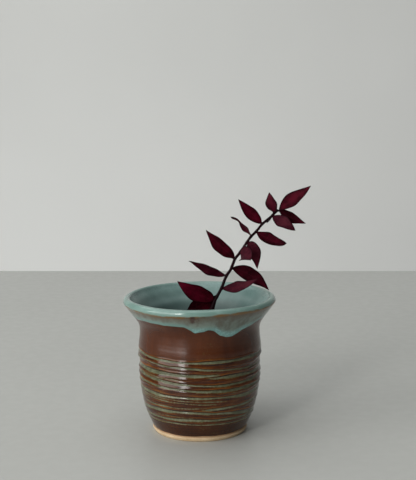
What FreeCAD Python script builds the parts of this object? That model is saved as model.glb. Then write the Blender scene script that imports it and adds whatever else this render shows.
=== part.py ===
"""Ceramic bud vase with a lift-out sprig: stoneware pot, glaze coats, stem and leaves.

Frame: millimetres, +Z up, origin at the centre of the foot, on the plane it stands on.
"""
import FreeCAD, Part
import math
import os

from FreeCAD import Vector

# ---- vase: driving dimensions (mm) ----
FOOT_RADIUS = 30.4
FOOT_BAND_TOP = 3.6
FOOT_EDGE_ROUND = 0.8
BELLY_RADIUS = 40.0
BELLY_ARC = 73.1
BELLY_FULL_Z = 38.0
NECK_START_Z = 69.0
COVE_ARC = 12.0
FLARE_ANGLE = math.radians(34.0)
LIP_RADIUS = 2.7
VASE_HEIGHT = 90.8
WALL = 2 * LIP_RADIUS
FLOOR_TOP_Z = 8.0
FLOOR_CORNER_ARC = 12.0
FOOT_RING_WIDTH = 4.6
FOOT_RING_SLOPE = 1.0
FOOT_RECESS = 2.0

# ---- glaze ----
COAT = 0.4
RIB_PROUD = 0.45
TURQUOISE_EDGE_Z = 78.6
# Runs of turquoise glaze below its general edge: bearing from the front in degrees
# (positive towards +X), height of the lowest point, width.
GLAZE_RUNS = [
    (-89, 75.0, 9.0),
    (-2, 74.6, 6.4),
    (27, 71.0, 13.0),
    (48, 75.4, 7.5),
    (104, 74.0, 8.0),
    (143, 72.5, 11.0),
    (171, 75.0, 7.0),
    (-136, 71.8, 10.0),
    (-112, 75.5, 6.5),
    (-61, 76.2, 6.0),
]
# Tooled ribs, each carrying a line of green glaze: height of its middle, height of the line.
GREEN_LINES = [
    (13.3, 1.7),
    (16.8, 1.5),
    (22.0, 2.4),
    (26.4, 1.3),
    (30.0, 1.4),
    (32.9, 1.5),
    (36.6, 2.3),
    (40.3, 1.7),
    (46.5, 2.7),
    (50.6, 1.8),
    (55.2, 2.2),
]

# ---- sprig ----
STEM_BASE_RADIUS = 1.25
STEM_TIP_RADIUS = 0.72
JOINT_SWELLING = 1.12
# Joints of the stem from its cut end up; the leaves grow from them by index.
STEM_NODES = [
    (-21.9, 0.0, 9.2),
    (8.3, 4.3, 81.2),
    (9.8, 4.7, 85.8),
    (11.4, 4.9, 88.9),
    (14.7, 5.4, 94.8),
    (17.5, 6.1, 102.5),
    (20.8, 6.8, 107.2),
    (23.5, 7.5, 114.2),
    (26.8, 8.2, 118.1),
    (30.8, 8.9, 124.1),
    (34.1, 9.6, 128.7),
    (37.9, 10.3, 132.3),
    (41.2, 11.0, 136.7),
    (48.5, 11.7, 142.6),
    (49.9, 12.4, 144.5),
    (52.6, 13.1, 146.4),
]
LEAF_THICKNESS = 0.5
LEAF_SECTIONS = 9
PETIOLE_WIDTH = 1.3
# Share of the midrib that the blade covers, from just inside the stem to just short of the point.
LEAF_START = 0.02
LEAF_SPAN = 0.97
# The blade's width follows sin(pi * s ** WIDEST_SHIFT) ** POINTEDNESS, less TIP_TAPER towards the tip.
WIDEST_SHIFT = 0.85
POINTEDNESS = 1.05
TIP_TAPER = 0.2
LEAST_HALF_WIDTH = 0.25
# Depth of the cupped section against its half width.
CUP_DEPTH = 0.16
# A narrow section is thinner: this share of the full thickness, plus half the width over the reach.
NARROW_SHARE = 0.45
FULL_THICKNESS_REACH = 3.0
# One row per leaf: name, stem joint, tip, width, sideways bow of the midrib (x, y, z at
# mid-length), and the turn of the blade about its midrib at base and tip, in degrees:
# 0 shows the face to the front, 90 shows the edge.
LEAVES = [
    ("leaf_in_mouth", 3, (-10.6, 8.5, 75.6), 14.5, (-1, 0.8, -0.6), 20, 20),
    ("leaf_low_left", 2, (-15.7, -3.0, 99.9), 12.5, (-0.5, -2, -0.2), 15, 22),
    ("leaf_left_hooked", 5, (-7.4, 5.0, 114.0), 10.5, (0, -1, -0.8), 40, 44),
    ("leaf_left_broad", 7, (3.9, 4.0, 134.3), 11.0, (-0.8, -2, -0.3), 20, 30),
    ("leaf_left_twisted", 10, (21.4, 5.0, 144.0), 9.0, (0.5, -1, 0.7), 66, 54),
    ("leaf_left_high", 12, (25.0, 7.0, 154.1), 10.0, (0, -1, 0.2), 25, 30),
    ("leaf_top_small", 14, (45.7, 9.0, 158.5), 8.8, (-0.5, -1, 0), 20, 25),
    ("leaf_end", 15, (74.4, 11.0, 162.2), 9.8, (-0.2, -1, 0), 28, 36),
    ("leaf_right_behind", 15, (71.5, 17.0, 136.6), 8.5, (-0.3, 2, -1.3), 35, 35),
    ("leaf_right_front", 13, (63.1, 1.0, 133.9), 10.0, (0, -2, 0.4), 30, 30),
    ("leaf_right_rolled", 11, (57.6, 4.0, 124.4), 10.0, (-0.3, -1, -1.6), 38, 42),
    ("leaf_drooping", 9, (37.6, -3.0, 108.7), 10.5, (1.5, -1.5, 3.0), 20, 10),
    ("leaf_short", 8, (33.4, -9.5, 115.6), 12.5, (0, -3.0, 1.5), 24, 24),
    ("leaf_on_lip", 6, (46.5, 12.0, 91.3), 11.0, (1.5, 2, 2.3), 20, 25),
    ("leaf_low_right", 4, (38.2, -5.0, 103.2), 8.5, (0.5, -2, -1.8), 30, 40),
]
STUB_NODE = 13
STUB_END = (44.2, 9.5, 138.3)
STUB_RADIUS = 0.55
STUB_TAPER = 0.8

AXIS_TOP = 200.0


def vase_face(shrink):
    """Half section of the pot, with its glazed surfaces moved into the wall by shrink."""
    cos_f = math.cos(FLARE_ANGLE)
    sin_f = math.sin(FLARE_ANGLE)
    belly_cx = BELLY_RADIUS - BELLY_ARC
    cove_cx = BELLY_RADIUS + COVE_ARC
    # The lip's centre lies half a wall inside the flare, at the height that tops the vase.
    flare_start = Vector(cove_cx - COVE_ARC * cos_f, 0, NECK_START_Z + COVE_ARC * sin_f)
    lip_cz = VASE_HEIGHT - LIP_RADIUS
    flare_run = (lip_cz - flare_start.z - LIP_RADIUS * sin_f) / cos_f
    lip = Vector(flare_start.x + flare_run * sin_f - LIP_RADIUS * cos_f, 0, lip_cz)

    def belly(radius, z):
        return Vector(belly_cx + math.sqrt(radius ** 2 - (BELLY_FULL_Z - z) ** 2), 0, z)

    def cove(radius, angle):
        return Vector(cove_cx - radius * math.cos(angle), 0, NECK_START_Z + radius * math.sin(angle))

    def round_lip(side, radius):
        away = Vector(cos_f, 0, -sin_f)
        return lip + away * (side * radius)

    out_r = BELLY_ARC - shrink
    in_r = BELLY_ARC - WALL + shrink
    cove_out = COVE_ARC + shrink
    cove_in = COVE_ARC + WALL - shrink
    lip_r = LIP_RADIUS - shrink
    corner_r = FLOOR_CORNER_ARC + shrink
    floor_z = FLOOR_TOP_Z - shrink

    corner_cz = FLOOR_TOP_Z + FLOOR_CORNER_ARC
    corner_reach = BELLY_ARC - WALL - FLOOR_CORNER_ARC
    corner = Vector(belly_cx + math.sqrt(corner_reach ** 2 - (BELLY_FULL_Z - corner_cz) ** 2), 0, corner_cz)
    toward = (corner - Vector(belly_cx, 0, BELLY_FULL_Z)).normalize()
    corner_end = corner + toward * corner_r
    corner_angle = math.atan2(toward.z, toward.x)
    corner_mid_angle = (corner_angle - math.pi / 2) / 2
    corner_mid = corner + Vector(math.cos(corner_mid_angle), 0, math.sin(corner_mid_angle)) * corner_r

    foot_top_r = belly(BELLY_ARC, FOOT_BAND_TOP).x
    ring_in = FOOT_RADIUS - FOOT_RING_WIDTH
    edge = FOOT_EDGE_ROUND
    diagonal = edge * (1 - math.sqrt(0.5))

    edges = []

    def line(a, b):
        if a.distanceToPoint(b) > 1e-6:
            edges.append(Part.LineSegment(a, b).toShape())

    def arc(a, middle, b):
        edges.append(Part.Arc(a, middle, b).toShape())

    axis_low = Vector(0, 0, FOOT_RECESS)
    recess_out = Vector(ring_in - FOOT_RING_SLOPE, 0, FOOT_RECESS)
    foot_in = Vector(ring_in, 0, 0)
    foot_flat_end = Vector(FOOT_RADIUS - edge, 0, 0)
    foot_side = Vector(FOOT_RADIUS, 0, edge)
    band_top = Vector(foot_top_r, 0, FOOT_BAND_TOP)
    coat_start = belly(out_r, FOOT_BAND_TOP)
    belly_top = Vector(BELLY_RADIUS - shrink, 0, BELLY_FULL_Z)
    neck_low = cove(cove_out, 0)
    flare_low = cove(cove_out, FLARE_ANGLE)
    lip_out = round_lip(1, lip_r)
    lip_top = Vector(lip.x, 0, lip.z + lip_r)
    lip_in = round_lip(-1, lip_r)
    throat = cove(cove_in, FLARE_ANGLE)
    inner_neck = cove(cove_in, 0)
    inner_belly_top = belly(in_r, BELLY_FULL_Z)
    floor_out = Vector(corner.x, 0, floor_z)
    floor_axis = Vector(0, 0, floor_z)

    line(axis_low, recess_out)
    line(recess_out, foot_in)
    line(foot_in, foot_flat_end)
    arc(foot_flat_end, Vector(FOOT_RADIUS - diagonal, 0, diagonal), foot_side)
    line(foot_side, band_top)
    line(band_top, coat_start)
    arc(coat_start, belly(out_r, (FOOT_BAND_TOP + BELLY_FULL_Z) / 2), belly_top)
    line(belly_top, neck_low)
    arc(neck_low, cove(cove_out, FLARE_ANGLE / 2), flare_low)
    line(flare_low, lip_out)
    arc(lip_out, lip_top, lip_in)
    line(lip_in, throat)
    arc(throat, cove(cove_in, FLARE_ANGLE / 2), inner_neck)
    line(inner_neck, inner_belly_top)
    arc(inner_belly_top, belly(in_r, (BELLY_FULL_Z + corner_end.z) / 2), corner_end)
    arc(corner_end, corner_mid, floor_out)
    line(floor_out, floor_axis)
    line(floor_axis, axis_low)
    return Part.Face(Part.Wire(edges))


def spin(face):
    return face.revolve(Vector(0, 0, 0), Vector(0, 0, 1), 360)


def outer_radius(z):
    """Radius of the glazed outer surface below the neck."""
    if z >= BELLY_FULL_Z:
        return BELLY_RADIUS
    return BELLY_RADIUS - BELLY_ARC + math.sqrt(BELLY_ARC ** 2 - (BELLY_FULL_Z - z) ** 2)


def green_line(middle_z, height, clay):
    """One rounded rib of green glaze, seated on the clay and standing proud of the brown."""
    low = middle_z - height / 2
    high = middle_z + height / 2
    inside = outer_radius(low) - 2 * COAT
    a = Vector(inside, 0, low)
    b = Vector(outer_radius(low), 0, low)
    crest = Vector(outer_radius(middle_z) + RIB_PROUD, 0, middle_z)
    c = Vector(outer_radius(high), 0, high)
    d = Vector(inside, 0, high)
    edges = [
        Part.LineSegment(a, b).toShape(),
        Part.Arc(b, crest, c).toShape(),
        Part.LineSegment(c, d).toShape(),
        Part.LineSegment(d, a).toShape(),
    ]
    return spin(Part.Face(Part.Wire(edges))).cut(clay)


def mid_wall_face():
    """Half section of everything inside the middle of the wall, up to the glaze's edge."""
    belly_cx = BELLY_RADIUS - BELLY_ARC
    arc_r = BELLY_ARC - WALL / 2
    cove_cx = BELLY_RADIUS + COVE_ARC
    cove_r = COVE_ARC + WALL / 2

    def belly(z):
        return Vector(belly_cx + math.sqrt(arc_r ** 2 - (BELLY_FULL_Z - z) ** 2), 0, z)

    def cove(angle):
        return Vector(cove_cx - cove_r * math.cos(angle), 0, NECK_START_Z + cove_r * math.sin(angle))

    low_z = (FLOOR_TOP_Z + FOOT_RECESS) / 2
    low_axis = Vector(0, 0, low_z)
    low = belly(low_z)
    full = belly(BELLY_FULL_Z)
    neck = cove(0)
    throat = cove(FLARE_ANGLE)
    top_z = TURQUOISE_EDGE_Z + WALL
    top = Vector(throat.x + (top_z - throat.z) * math.tan(FLARE_ANGLE), 0, top_z)
    top_axis = Vector(0, 0, top_z)
    edges = [
        Part.LineSegment(low_axis, low).toShape(),
        Part.Arc(low, belly((low_z + BELLY_FULL_Z) / 2), full).toShape(),
        Part.LineSegment(full, neck).toShape(),
        Part.Arc(neck, cove(FLARE_ANGLE / 2), throat).toShape(),
        Part.LineSegment(throat, top).toShape(),
        Part.LineSegment(top, top_axis).toShape(),
        Part.LineSegment(top_axis, low_axis).toShape(),
    ]
    return Part.Face(Part.Wire(edges))


def turquoise_zone():
    """Space that holds all the turquoise glaze: inside, over the lip, and its outer runs."""
    reach = 2 * BELLY_RADIUS
    zone = Part.makeCylinder(reach, AXIS_TOP, Vector(0, 0, TURQUOISE_EDGE_Z))
    for bearing, lowest, width in GLAZE_RUNS:
        radius = width / 2
        side_top = TURQUOISE_EDGE_Z + radius
        left_low = Vector(-radius, 0, lowest + radius)
        right_low = Vector(radius, 0, lowest + radius)
        left_top = Vector(-radius, 0, side_top)
        right_top = Vector(radius, 0, side_top)
        edges = [
            Part.Arc(left_low, Vector(0, 0, lowest), right_low).toShape(),
            Part.LineSegment(right_low, right_top).toShape(),
            Part.LineSegment(right_top, left_top).toShape(),
            Part.LineSegment(left_top, left_low).toShape(),
        ]
        tongue = Part.Face(Part.Wire(edges)).extrude(Vector(0, -reach, 0))
        tongue.rotate(Vector(0, 0, 0), Vector(0, 0, 1), bearing)
        zone = zone.fuse(tongue)
    return zone.fuse(spin(mid_wall_face()))


def biggest(shape):
    return max(shape.Solids, key=lambda solid: solid.Volume)


def stem_solid():
    """Tapered run from joint to joint, with a small swelling at each one."""
    points = [Vector(*p) for p in STEM_NODES]
    total = sum(a.distanceToPoint(b) for a, b in zip(points, points[1:]))
    stem = None
    walked = 0.0
    for a, b in zip(points, points[1:]):
        length = a.distanceToPoint(b)
        r0 = STEM_BASE_RADIUS + (STEM_TIP_RADIUS - STEM_BASE_RADIUS) * walked / total
        walked += length
        r1 = STEM_BASE_RADIUS + (STEM_TIP_RADIUS - STEM_BASE_RADIUS) * walked / total
        run = Part.makeCone(r0, r1, length, a, b - a)
        swelling = Part.makeSphere(r1 * JOINT_SWELLING, b)
        piece = run.fuse(swelling)
        stem = piece if stem is None else stem.fuse(piece)
    return stem.removeSplitter()


def leaf_solid(joint, tip, width, bow, turn_base, turn_tip):
    """Thin pointed blade lofted along a bowed midrib, from the stem joint to the tip."""
    base = Vector(*STEM_NODES[joint])
    end = Vector(*tip)
    middle = (base + end) * 0.5 + Vector(*bow) * 2
    sections = []
    for i in range(LEAF_SECTIONS):
        s = LEAF_START + LEAF_SPAN * i / (LEAF_SECTIONS - 1)
        point = base * (1 - s) ** 2 + middle * (2 * s * (1 - s)) + end * s ** 2
        along = ((middle - base) * (1 - s) + (end - middle) * s).normalize()
        front = Vector(0, -1, 0)
        face = (front - along * front.dot(along)).normalize()
        side = along.cross(face)
        turn = math.radians(turn_base + (turn_tip - turn_base) * s)
        across = side * math.cos(turn) + face * math.sin(turn)
        normal = face * math.cos(turn) - side * math.sin(turn)
        blade = width * math.sin(math.pi * s ** WIDEST_SHIFT) ** POINTEDNESS * (1 - TIP_TAPER * s)
        half = max(PETIOLE_WIDTH * (1 - s), blade) / 2
        half = max(half, LEAST_HALF_WIDTH)
        cup = CUP_DEPTH * half
        thick = LEAF_THICKNESS * min(1.0, NARROW_SHARE + half / FULL_THICKNESS_REACH)
        left = point - across * half
        right = point + across * half
        upper = point - normal * (cup - thick / 2)
        lower = point - normal * (cup + thick / 2)
        top = Part.Arc(left, upper, right).toShape()
        bottom = Part.Arc(right, lower, left).toShape()
        sections.append(Part.Wire([top, bottom]))
    return Part.makeLoft(sections, True, False)


def build():
    parts = {}
    whole = spin(vase_face(0.0))
    clay = spin(vase_face(COAT))
    parts["clay_body"] = clay

    coats = whole.cut(clay)
    zone = turquoise_zone()
    parts["turquoise_glaze"] = biggest(coats.common(zone))
    brown = coats.cut(zone)
    for number, (middle_z, height) in enumerate(GREEN_LINES, 1):
        rib = green_line(middle_z, height, clay)
        brown = brown.cut(rib)
        parts["green_glaze_line_%02d" % number] = rib
    parts["brown_glaze"] = brown

    stem = stem_solid()
    parts["stem"] = stem
    for name, joint, tip, width, bow, turn_base, turn_tip in LEAVES:
        parts[name] = biggest(leaf_solid(joint, tip, width, bow, turn_base, turn_tip).cut(stem))
    stub_start = Vector(*STEM_NODES[STUB_NODE])
    stub_end = Vector(*STUB_END)
    stub = Part.makeCone(STUB_RADIUS, STUB_RADIUS * STUB_TAPER, stub_start.distanceToPoint(stub_end),
                         stub_start, stub_end - stub_start)
    parts["broken_leaf_stalk"] = biggest(stub.cut(stem))
    return parts


os.makedirs("parts", exist_ok=True)
for node, shape in build().items():
    shape.exportStep("parts/%s.step" % node)
    print(node, "valid", shape.isValid(), "solids", len(shape.Solids), "volume %.1f" % shape.Volume)
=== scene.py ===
# Looks of the ceramic bud vase and its sprig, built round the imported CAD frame.
# Lengths below are in millimetres unless a comment says otherwise; MM turns them into metres.
# Bearings run round the vase's axis from the front (-Y) and are positive towards +X.

import math
from collections import namedtuple

import bmesh
import bpy
import numpy as np
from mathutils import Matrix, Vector
from mathutils.kdtree import KDTree


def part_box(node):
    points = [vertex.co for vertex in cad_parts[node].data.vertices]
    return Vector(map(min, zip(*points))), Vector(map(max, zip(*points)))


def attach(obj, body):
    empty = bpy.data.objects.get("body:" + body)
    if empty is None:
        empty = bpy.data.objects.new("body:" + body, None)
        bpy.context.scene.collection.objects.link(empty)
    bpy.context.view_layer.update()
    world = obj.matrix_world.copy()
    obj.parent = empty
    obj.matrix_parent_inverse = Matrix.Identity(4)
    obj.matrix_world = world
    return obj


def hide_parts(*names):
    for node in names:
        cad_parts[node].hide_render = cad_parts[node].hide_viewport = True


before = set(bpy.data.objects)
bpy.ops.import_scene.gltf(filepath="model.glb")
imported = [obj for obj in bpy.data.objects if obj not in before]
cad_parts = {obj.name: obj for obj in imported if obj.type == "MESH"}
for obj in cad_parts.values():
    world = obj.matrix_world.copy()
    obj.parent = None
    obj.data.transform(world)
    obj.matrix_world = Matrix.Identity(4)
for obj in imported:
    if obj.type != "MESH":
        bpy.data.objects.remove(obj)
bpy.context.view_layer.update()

MM = 0.001

# ---- the vase's section, as in the CAD model ----
RIM_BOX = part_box("turquoise_glaze")
VASE_HEIGHT = RIM_BOX[1].z / MM
BELLY_RADIUS = 40.0
BELLY_ARC = 73.1
BELLY_FULL_Z = 38.0
NECK_START_Z = 69.0
COVE_ARC = 12.0
FLARE_ANGLE = 34.0
LIP_RADIUS = 2.7
WALL = 2 * LIP_RADIUS
FLOOR_TOP_Z = 8.0
FLOOR_CORNER_ARC = 12.0
FOOT_RADIUS = 30.4
FOOT_BAND_TOP = 3.6
FOOT_RING_WIDTH = 4.6
FOOT_RECESS = 2.0
COAT_DEPTH = 0.8

# ---- mesh fineness ----
COLUMNS = 384
FINE_ROW = 0.33
PLAIN_ROW = 0.6
LINER_ROW = 1.1
HIDDEN_ROW = 4.0
SKIN_STEP = 0.05

# ---- handmade irregularity ----
RIM_TILT = 0.5
RIM_WAVE = 0.22
RIM_SPREAD = 0.8
RIM_SHIFT = -0.45
OVALITY = 0.2
BAND_BULGE = 0.85
BAND_BULGE_Z = 58.0
BAND_BULGE_REACH = 5.5

# Lines that the potter's tool cut into the belly. Height at 60 degrees to the left, in front
# and at 60 degrees to the right; first and last bearing, or None for all the way round;
# width, depth, how much green glaze lies in it, and how far the ledge below it runs down.
TOOLED_LINES = [
    (55.5, 55.1, 55.6, None, 0.72, 0.98, 0.95, 3.0),
    (52.4, 50.6, 48.6, None, 0.62, 0.62, 0.85, 1.3),
    (46.6, 46.4, 47.6, (-178, 24), 1.00, 1.00, 1.00, 2.3),
    (45.6, 45.1, 44.6, (2, 178), 0.85, 0.80, 0.85, 2.2),
    (43.9, 42.9, 42.5, (-120, -12), 0.40, 0.40, 0.50, 0.8),
    (42.2, 39.9, 40.3, None, 0.72, 1.00, 0.95, 2.3),
    (37.8, 36.4, 35.9, None, 0.80, 0.80, 0.95, 1.6),
    (34.6, 33.9, 33.6, (20, 170), 0.40, 0.35, 0.35, 0.8),
    (31.8, 31.6, 31.2, None, 0.85, 0.85, 0.95, 1.1),
    (29.8, 29.4, 29.0, (-100, 30), 0.42, 0.40, 0.62, 0.7),
    (28.3, 27.8, 27.5, (-150, 22), 0.42, 0.40, 0.62, 0.7),
    (24.1, 24.9, 25.4, (-75, 14), 0.50, 0.50, 0.70, 0.9),
    (22.5, 23.4, 25.0, (-4, 150), 0.65, 0.75, 0.90, 1.5),
    (26.6, 26.2, 26.4, (-175, -50), 0.55, 0.60, 0.60, 1.2),
    (20.2, 21.6, 17.6, None, 0.90, 0.95, 1.05, 2.2),
    (18.3, 17.9, 17.6, (-55, 4), 0.42, 0.40, 0.55, 0.7),
    (15.3, 16.1, 15.6, None, 0.80, 0.80, 0.90, 1.6),
    (12.2, 13.1, 12.2, None, 0.60, 0.60, 0.75, 1.2),
]
LINE_FADE = 14.0
RELIEF = 1.18
# Section of a tooled line across its widths, up from its middle: where, how far, how high and how
# flat-topped. The groove has a brow above it. Green glaze lies low in it, a painted shadow of its
# upper edge is above that, and the glaze breaks thin on the brow's crest, which is painted a lighter
# honey brown: partly the glaze's own colour, partly a painted highlight.
GROOVE = (0.45, 0.60, -0.66)
BROW = (1.75, 0.75, 0.30)
GREEN_GLAZE = (-0.15, 0.80, 1.0, 2.4)
UNDERCUT = (1.12, 0.46, 1.0, 2.4)
CREST = (1.9, 0.55)
LEDGE_RISE = 0.46
# Lines in the lower belly are shallower.
SHALLOW_BELOW = 34.0
SHALLOW_SHARE = 0.38

# Lower edge of the turquoise glaze, as bearing and height of the points its runs need.
GLAZE_EDGE = [
    (-168, 77.9), (-154, 76.0), (-139, 71.9), (-131, 72.2), (-122, 76.4), (-112, 75.3), (-103, 77.4),
    (-92, 75.0), (-85, 76.4), (-73, 79.3), (-60, 79.0), (-50, 79.7), (-37, 79.4), (-20, 79.2),
    (-12, 78.8), (-7, 76.8), (-3, 74.6), (1, 75.1), (4, 75.6), (8, 76.7), (12, 76.2), (16, 74.1),
    (20, 72.0), (26, 70.9), (31, 71.1), (35, 71.9), (40, 73.9), (51, 76.5), (64, 79.0), (80, 79.8),
    (95, 78.2), (103, 74.3), (110, 74.6), (119, 77.4), (132, 75.3), (141, 72.3), (148, 72.6),
    (158, 76.2), (166, 76.6), (172, 75.0), (178, 75.6), (185, 77.9),
]
EDGE_BEAD = 0.34
EDGE_ROUND = 1.1
# The arris is the sharp edge where the lip turns down: how far it rises at the right.
ARRIS_RISE = 1.3
# Heights where the tooled lines end, where the brown coat ends under the turquoise one, where
# the turquoise coat's rows no longer follow its wavy edge, and where its runs start.
LINES_TOP = 60.0
BROWN_TOP = 82.0
ROWS_LEVEL_FROM = 82.5
RUNS_START = 78.6
LINER_RINGS = 0.22
FLOOR_SPIRAL = 0.25
FOOT_EDGE_REACH = 6.0
FOOT_BEAD = 0.25

# ---- colours, in linear light ----
# Brown glaze, and the green glaze caught in the tooled lines
BROWN_DARK = (0.032, 0.0072, 0.0016)
BROWN_LIGHT = (0.078, 0.0195, 0.0028)
BROWN_STREAK = (0.115, 0.028, 0.006)
RUST = (0.15, 0.048, 0.007)
INK = (0.016, 0.005, 0.003)
# Honey brown on the crests: partly the glaze's own colour, partly a painted highlight
HONEY_AND_HIGHLIGHT = (0.215, 0.072, 0.008)
BROWN_BAND = (0.066, 0.015, 0.003)
BROWN_LOW = (0.036, 0.0105, 0.002)
BROWN_SHADOW = (0.008, 0.004, 0.003)
IRON_SPECK = (0.018, 0.007, 0.004)
GREEN_DARK = (0.085, 0.092, 0.052)
GREEN_LIGHT = (0.162, 0.177, 0.112)
AMBER = (0.1, 0.066, 0.022)
# Turquoise glaze
LIP_DARK = (0.145, 0.245, 0.215)
LIP_LIGHT = (0.2, 0.315, 0.28)
LINER_DARK = (0.12, 0.205, 0.19)
LINER_LIGHT = (0.185, 0.285, 0.268)
# Painted shade: the liner deep inside the vase, where little light reaches
LINER_PAINTED_SHADE = (0.026, 0.054, 0.05)
RUN_PALE = (0.165, 0.205, 0.172)
RUN_GREY = (0.108, 0.122, 0.098)
RUN_BROWN = (0.125, 0.092, 0.066)
STAINED = (0.1, 0.088, 0.068)
TOASTED = (0.098, 0.068, 0.042)
POOLED = (0.105, 0.205, 0.19)
DRIP_DARK = (0.14, 0.3, 0.292)
DRIP_LIGHT = (0.3, 0.55, 0.525)
# Brown where the glaze thins at its lower edge, with a painted shadow line along it
EDGE_BROWN_AND_SHADOW = (0.04, 0.03, 0.016)
ARRIS_BROWN = (0.15, 0.084, 0.03)
SMUDGE = (0.052, 0.026, 0.018)
GREY_SPECK = (0.07, 0.1, 0.09)
# Clay
CLAY_DARK = (0.56, 0.41, 0.245)
CLAY_LIGHT = (0.74, 0.59, 0.385)
SAND = (0.42, 0.27, 0.14)
GROG = (0.16, 0.085, 0.045)
CLAY_TOASTED = (0.24, 0.11, 0.045)
# Leaves and stem
LEAF_DARK = (0.012, 0.0004, 0.0018)
LEAF_LIGHT = (0.052, 0.0009, 0.007)
# Painted highlight: brighter crimson along the middle of each blade
LEAF_MIDDLE_HIGHLIGHT = (0.088, 0.0015, 0.011)
LEAF_FLECK = (0.092, 0.01, 0.019)
# Painted sheen: a paler, greyer face on leaves that catch the light
PAINTED_SHEEN_DARK = (0.028, 0.0036, 0.0085)
PAINTED_SHEEN_LIGHT = (0.06, 0.012, 0.019)
VEIN_RED = (0.07, 0.006, 0.014)
# Painted highlight: a brighter crimson on a leaf face that catches the light
LEAF_CRIMSON_HIGHLIGHT = (0.135, 0.004, 0.019)
LEAF_EDGE = (0.008, 0.0012, 0.0025)
LEAF_ENDS = (0.01, 0.0015, 0.003)
BARK_DARK = (0.006, 0.001, 0.002)
BARK_LIGHT = (0.016, 0.0022, 0.0045)
BARK_DOT = (0.036, 0.012, 0.012)
CUT_WOOD = (0.2, 0.13, 0.075)

# ---- camera, stage and light: metres and degrees, and the lens in millimetres ----
CAMERA_AT = (0.0054, -0.700, 0.2342)
CAMERA_PITCH = 8.64
CAMERA_LENS = 80.6
TABLE_REACH = 4.0
TABLE_BACK = 0.59
TABLE_THICKNESS = 0.03
TABLE_COLOURS = ((0.450, 0.460, 0.435), (0.480, 0.490, 0.465))
WALL_BACK = 2.5
WALL_REACH = 5.0
WALL_BOTTOM = -2.0
WALL_TOP = 4.0
WALL_COLOURS = ((0.70, 0.71, 0.685), (0.73, 0.74, 0.715))
SOFTBOX_DISTANCE = 2.4
SOFTBOX_COLOUR = (1.0, 0.985, 0.96)
# Bearings that each softbox covers as seen from the vase, its bottom and top, and its strength.
SOFTBOXES = [(-37.0, -82.0, 0.0, 1.8, 3.3), (-25.5, -36.0, 0.1, 1.85, 13.0)]
# Place, target, width, height and power in watts of the other two lights.
OVERHEAD = ((-0.65, 0.15, 2.4), (0.0, 0.0, 0.0), 3.2, 3.2, 39.5)
WALL_WASH = ((-0.6, 1.3, -1.4), (-0.1, WALL_BACK, 0.0), 3.0, 0.8, 21.0)
AIR_COLOUR = (0.93, 0.95, 0.97, 1.0)
AIR_STRENGTH = 0.13


# ======== helpers

def smooth(x, low, high):
    t = np.clip((x - low) / (high - low), 0.0, 1.0)
    return t * t * (3.0 - 2.0 * t)


def between(x, rise_from, rise_to, fall_from, fall_to):
    """1 between two places, easing up from 0 before them and back to 0 after them."""
    return smooth(x, rise_from, rise_to) * (1.0 - smooth(x, fall_from, fall_to))


def swell(x, where, reach, height=1.0, power=2.0):
    """A smooth bump; a higher power gives it a flatter top."""
    return height * np.exp(-np.abs((x - where) / reach) ** power)


def quarter_round(x):
    """Rises from 0 to 1 as a quarter circle does."""
    return np.sqrt(1.0 - (1.0 - np.clip(x, 0.0, 1.0)) ** 2)


def add_object(name, vertices, faces):
    """A smooth-shaded mesh object with outward normals; vertices are in metres."""
    mesh = bpy.data.meshes.new(name)
    mesh.from_pydata([tuple(v) for v in vertices], [], faces)
    work = bmesh.new()
    work.from_mesh(mesh)
    bmesh.ops.recalc_face_normals(work, faces=work.faces)
    work.to_mesh(mesh)
    work.free()
    mesh.polygons.foreach_set("use_smooth", [True] * len(mesh.polygons))
    obj = bpy.data.objects.new(name, mesh)
    bpy.context.scene.collection.objects.link(obj)
    return obj


def add_attribute(obj, name, values):
    attribute = obj.data.attributes.new(name, "FLOAT", "POINT")
    attribute.data.foreach_set("value", np.asarray(values, np.float32).ravel())


def ring_faces(rows, columns, start=0):
    """Quads of a grid whose columns close on themselves."""
    faces = []
    for i in range(rows - 1):
        for j in range(columns):
            k = (j + 1) % columns
            a = start + i * columns
            faces.append((a + j, a + k, a + columns + k, a + columns + j))
    return faces


def add_closed_shell(name, outside, inside, pole=False, **attributes):
    """A shell between two grids of the same columns, closed along its first and last rows.

    With pole, the last row is gathered into a point instead, on both grids. The attributes are
    given for the outside and are 0 on the inside.
    """
    columns = outside.shape[1]
    out_rows = outside.shape[0]
    in_rows = inside.shape[0]
    start = out_rows * columns
    vertices = np.concatenate([outside.reshape(-1, 3), inside.reshape(-1, 3)])
    faces = ring_faces(out_rows, columns) + ring_faces(in_rows, columns, start)
    last_out = (out_rows - 1) * columns
    last_in = start + (in_rows - 1) * columns
    for j in range(columns):
        k = (j + 1) % columns
        faces.append((j, k, start + k, start + j))
        if pole:
            faces.append((last_out + j, last_out + k, len(vertices)))
            faces.append((last_in + j, last_in + k, len(vertices) + 1))
        else:
            faces.append((last_out + j, last_out + k, last_in + k, last_in + j))
    if pole:
        vertices = np.concatenate([vertices, [outside[-1].mean(axis=0), inside[-1].mean(axis=0)]])
    obj = add_object(name, vertices, faces)
    for key, values in attributes.items():
        values = values * np.ones(outside.shape[:2])
        tail = np.zeros(len(vertices) - values.size)
        add_attribute(obj, key, np.concatenate([values.ravel(), tail]))
    return obj


def finish_piece(obj, body, material, slot, *nodes):
    obj.data.materials.append(material)
    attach(obj, body)
    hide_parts(*nodes)
    return obj


# ======== materials

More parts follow.
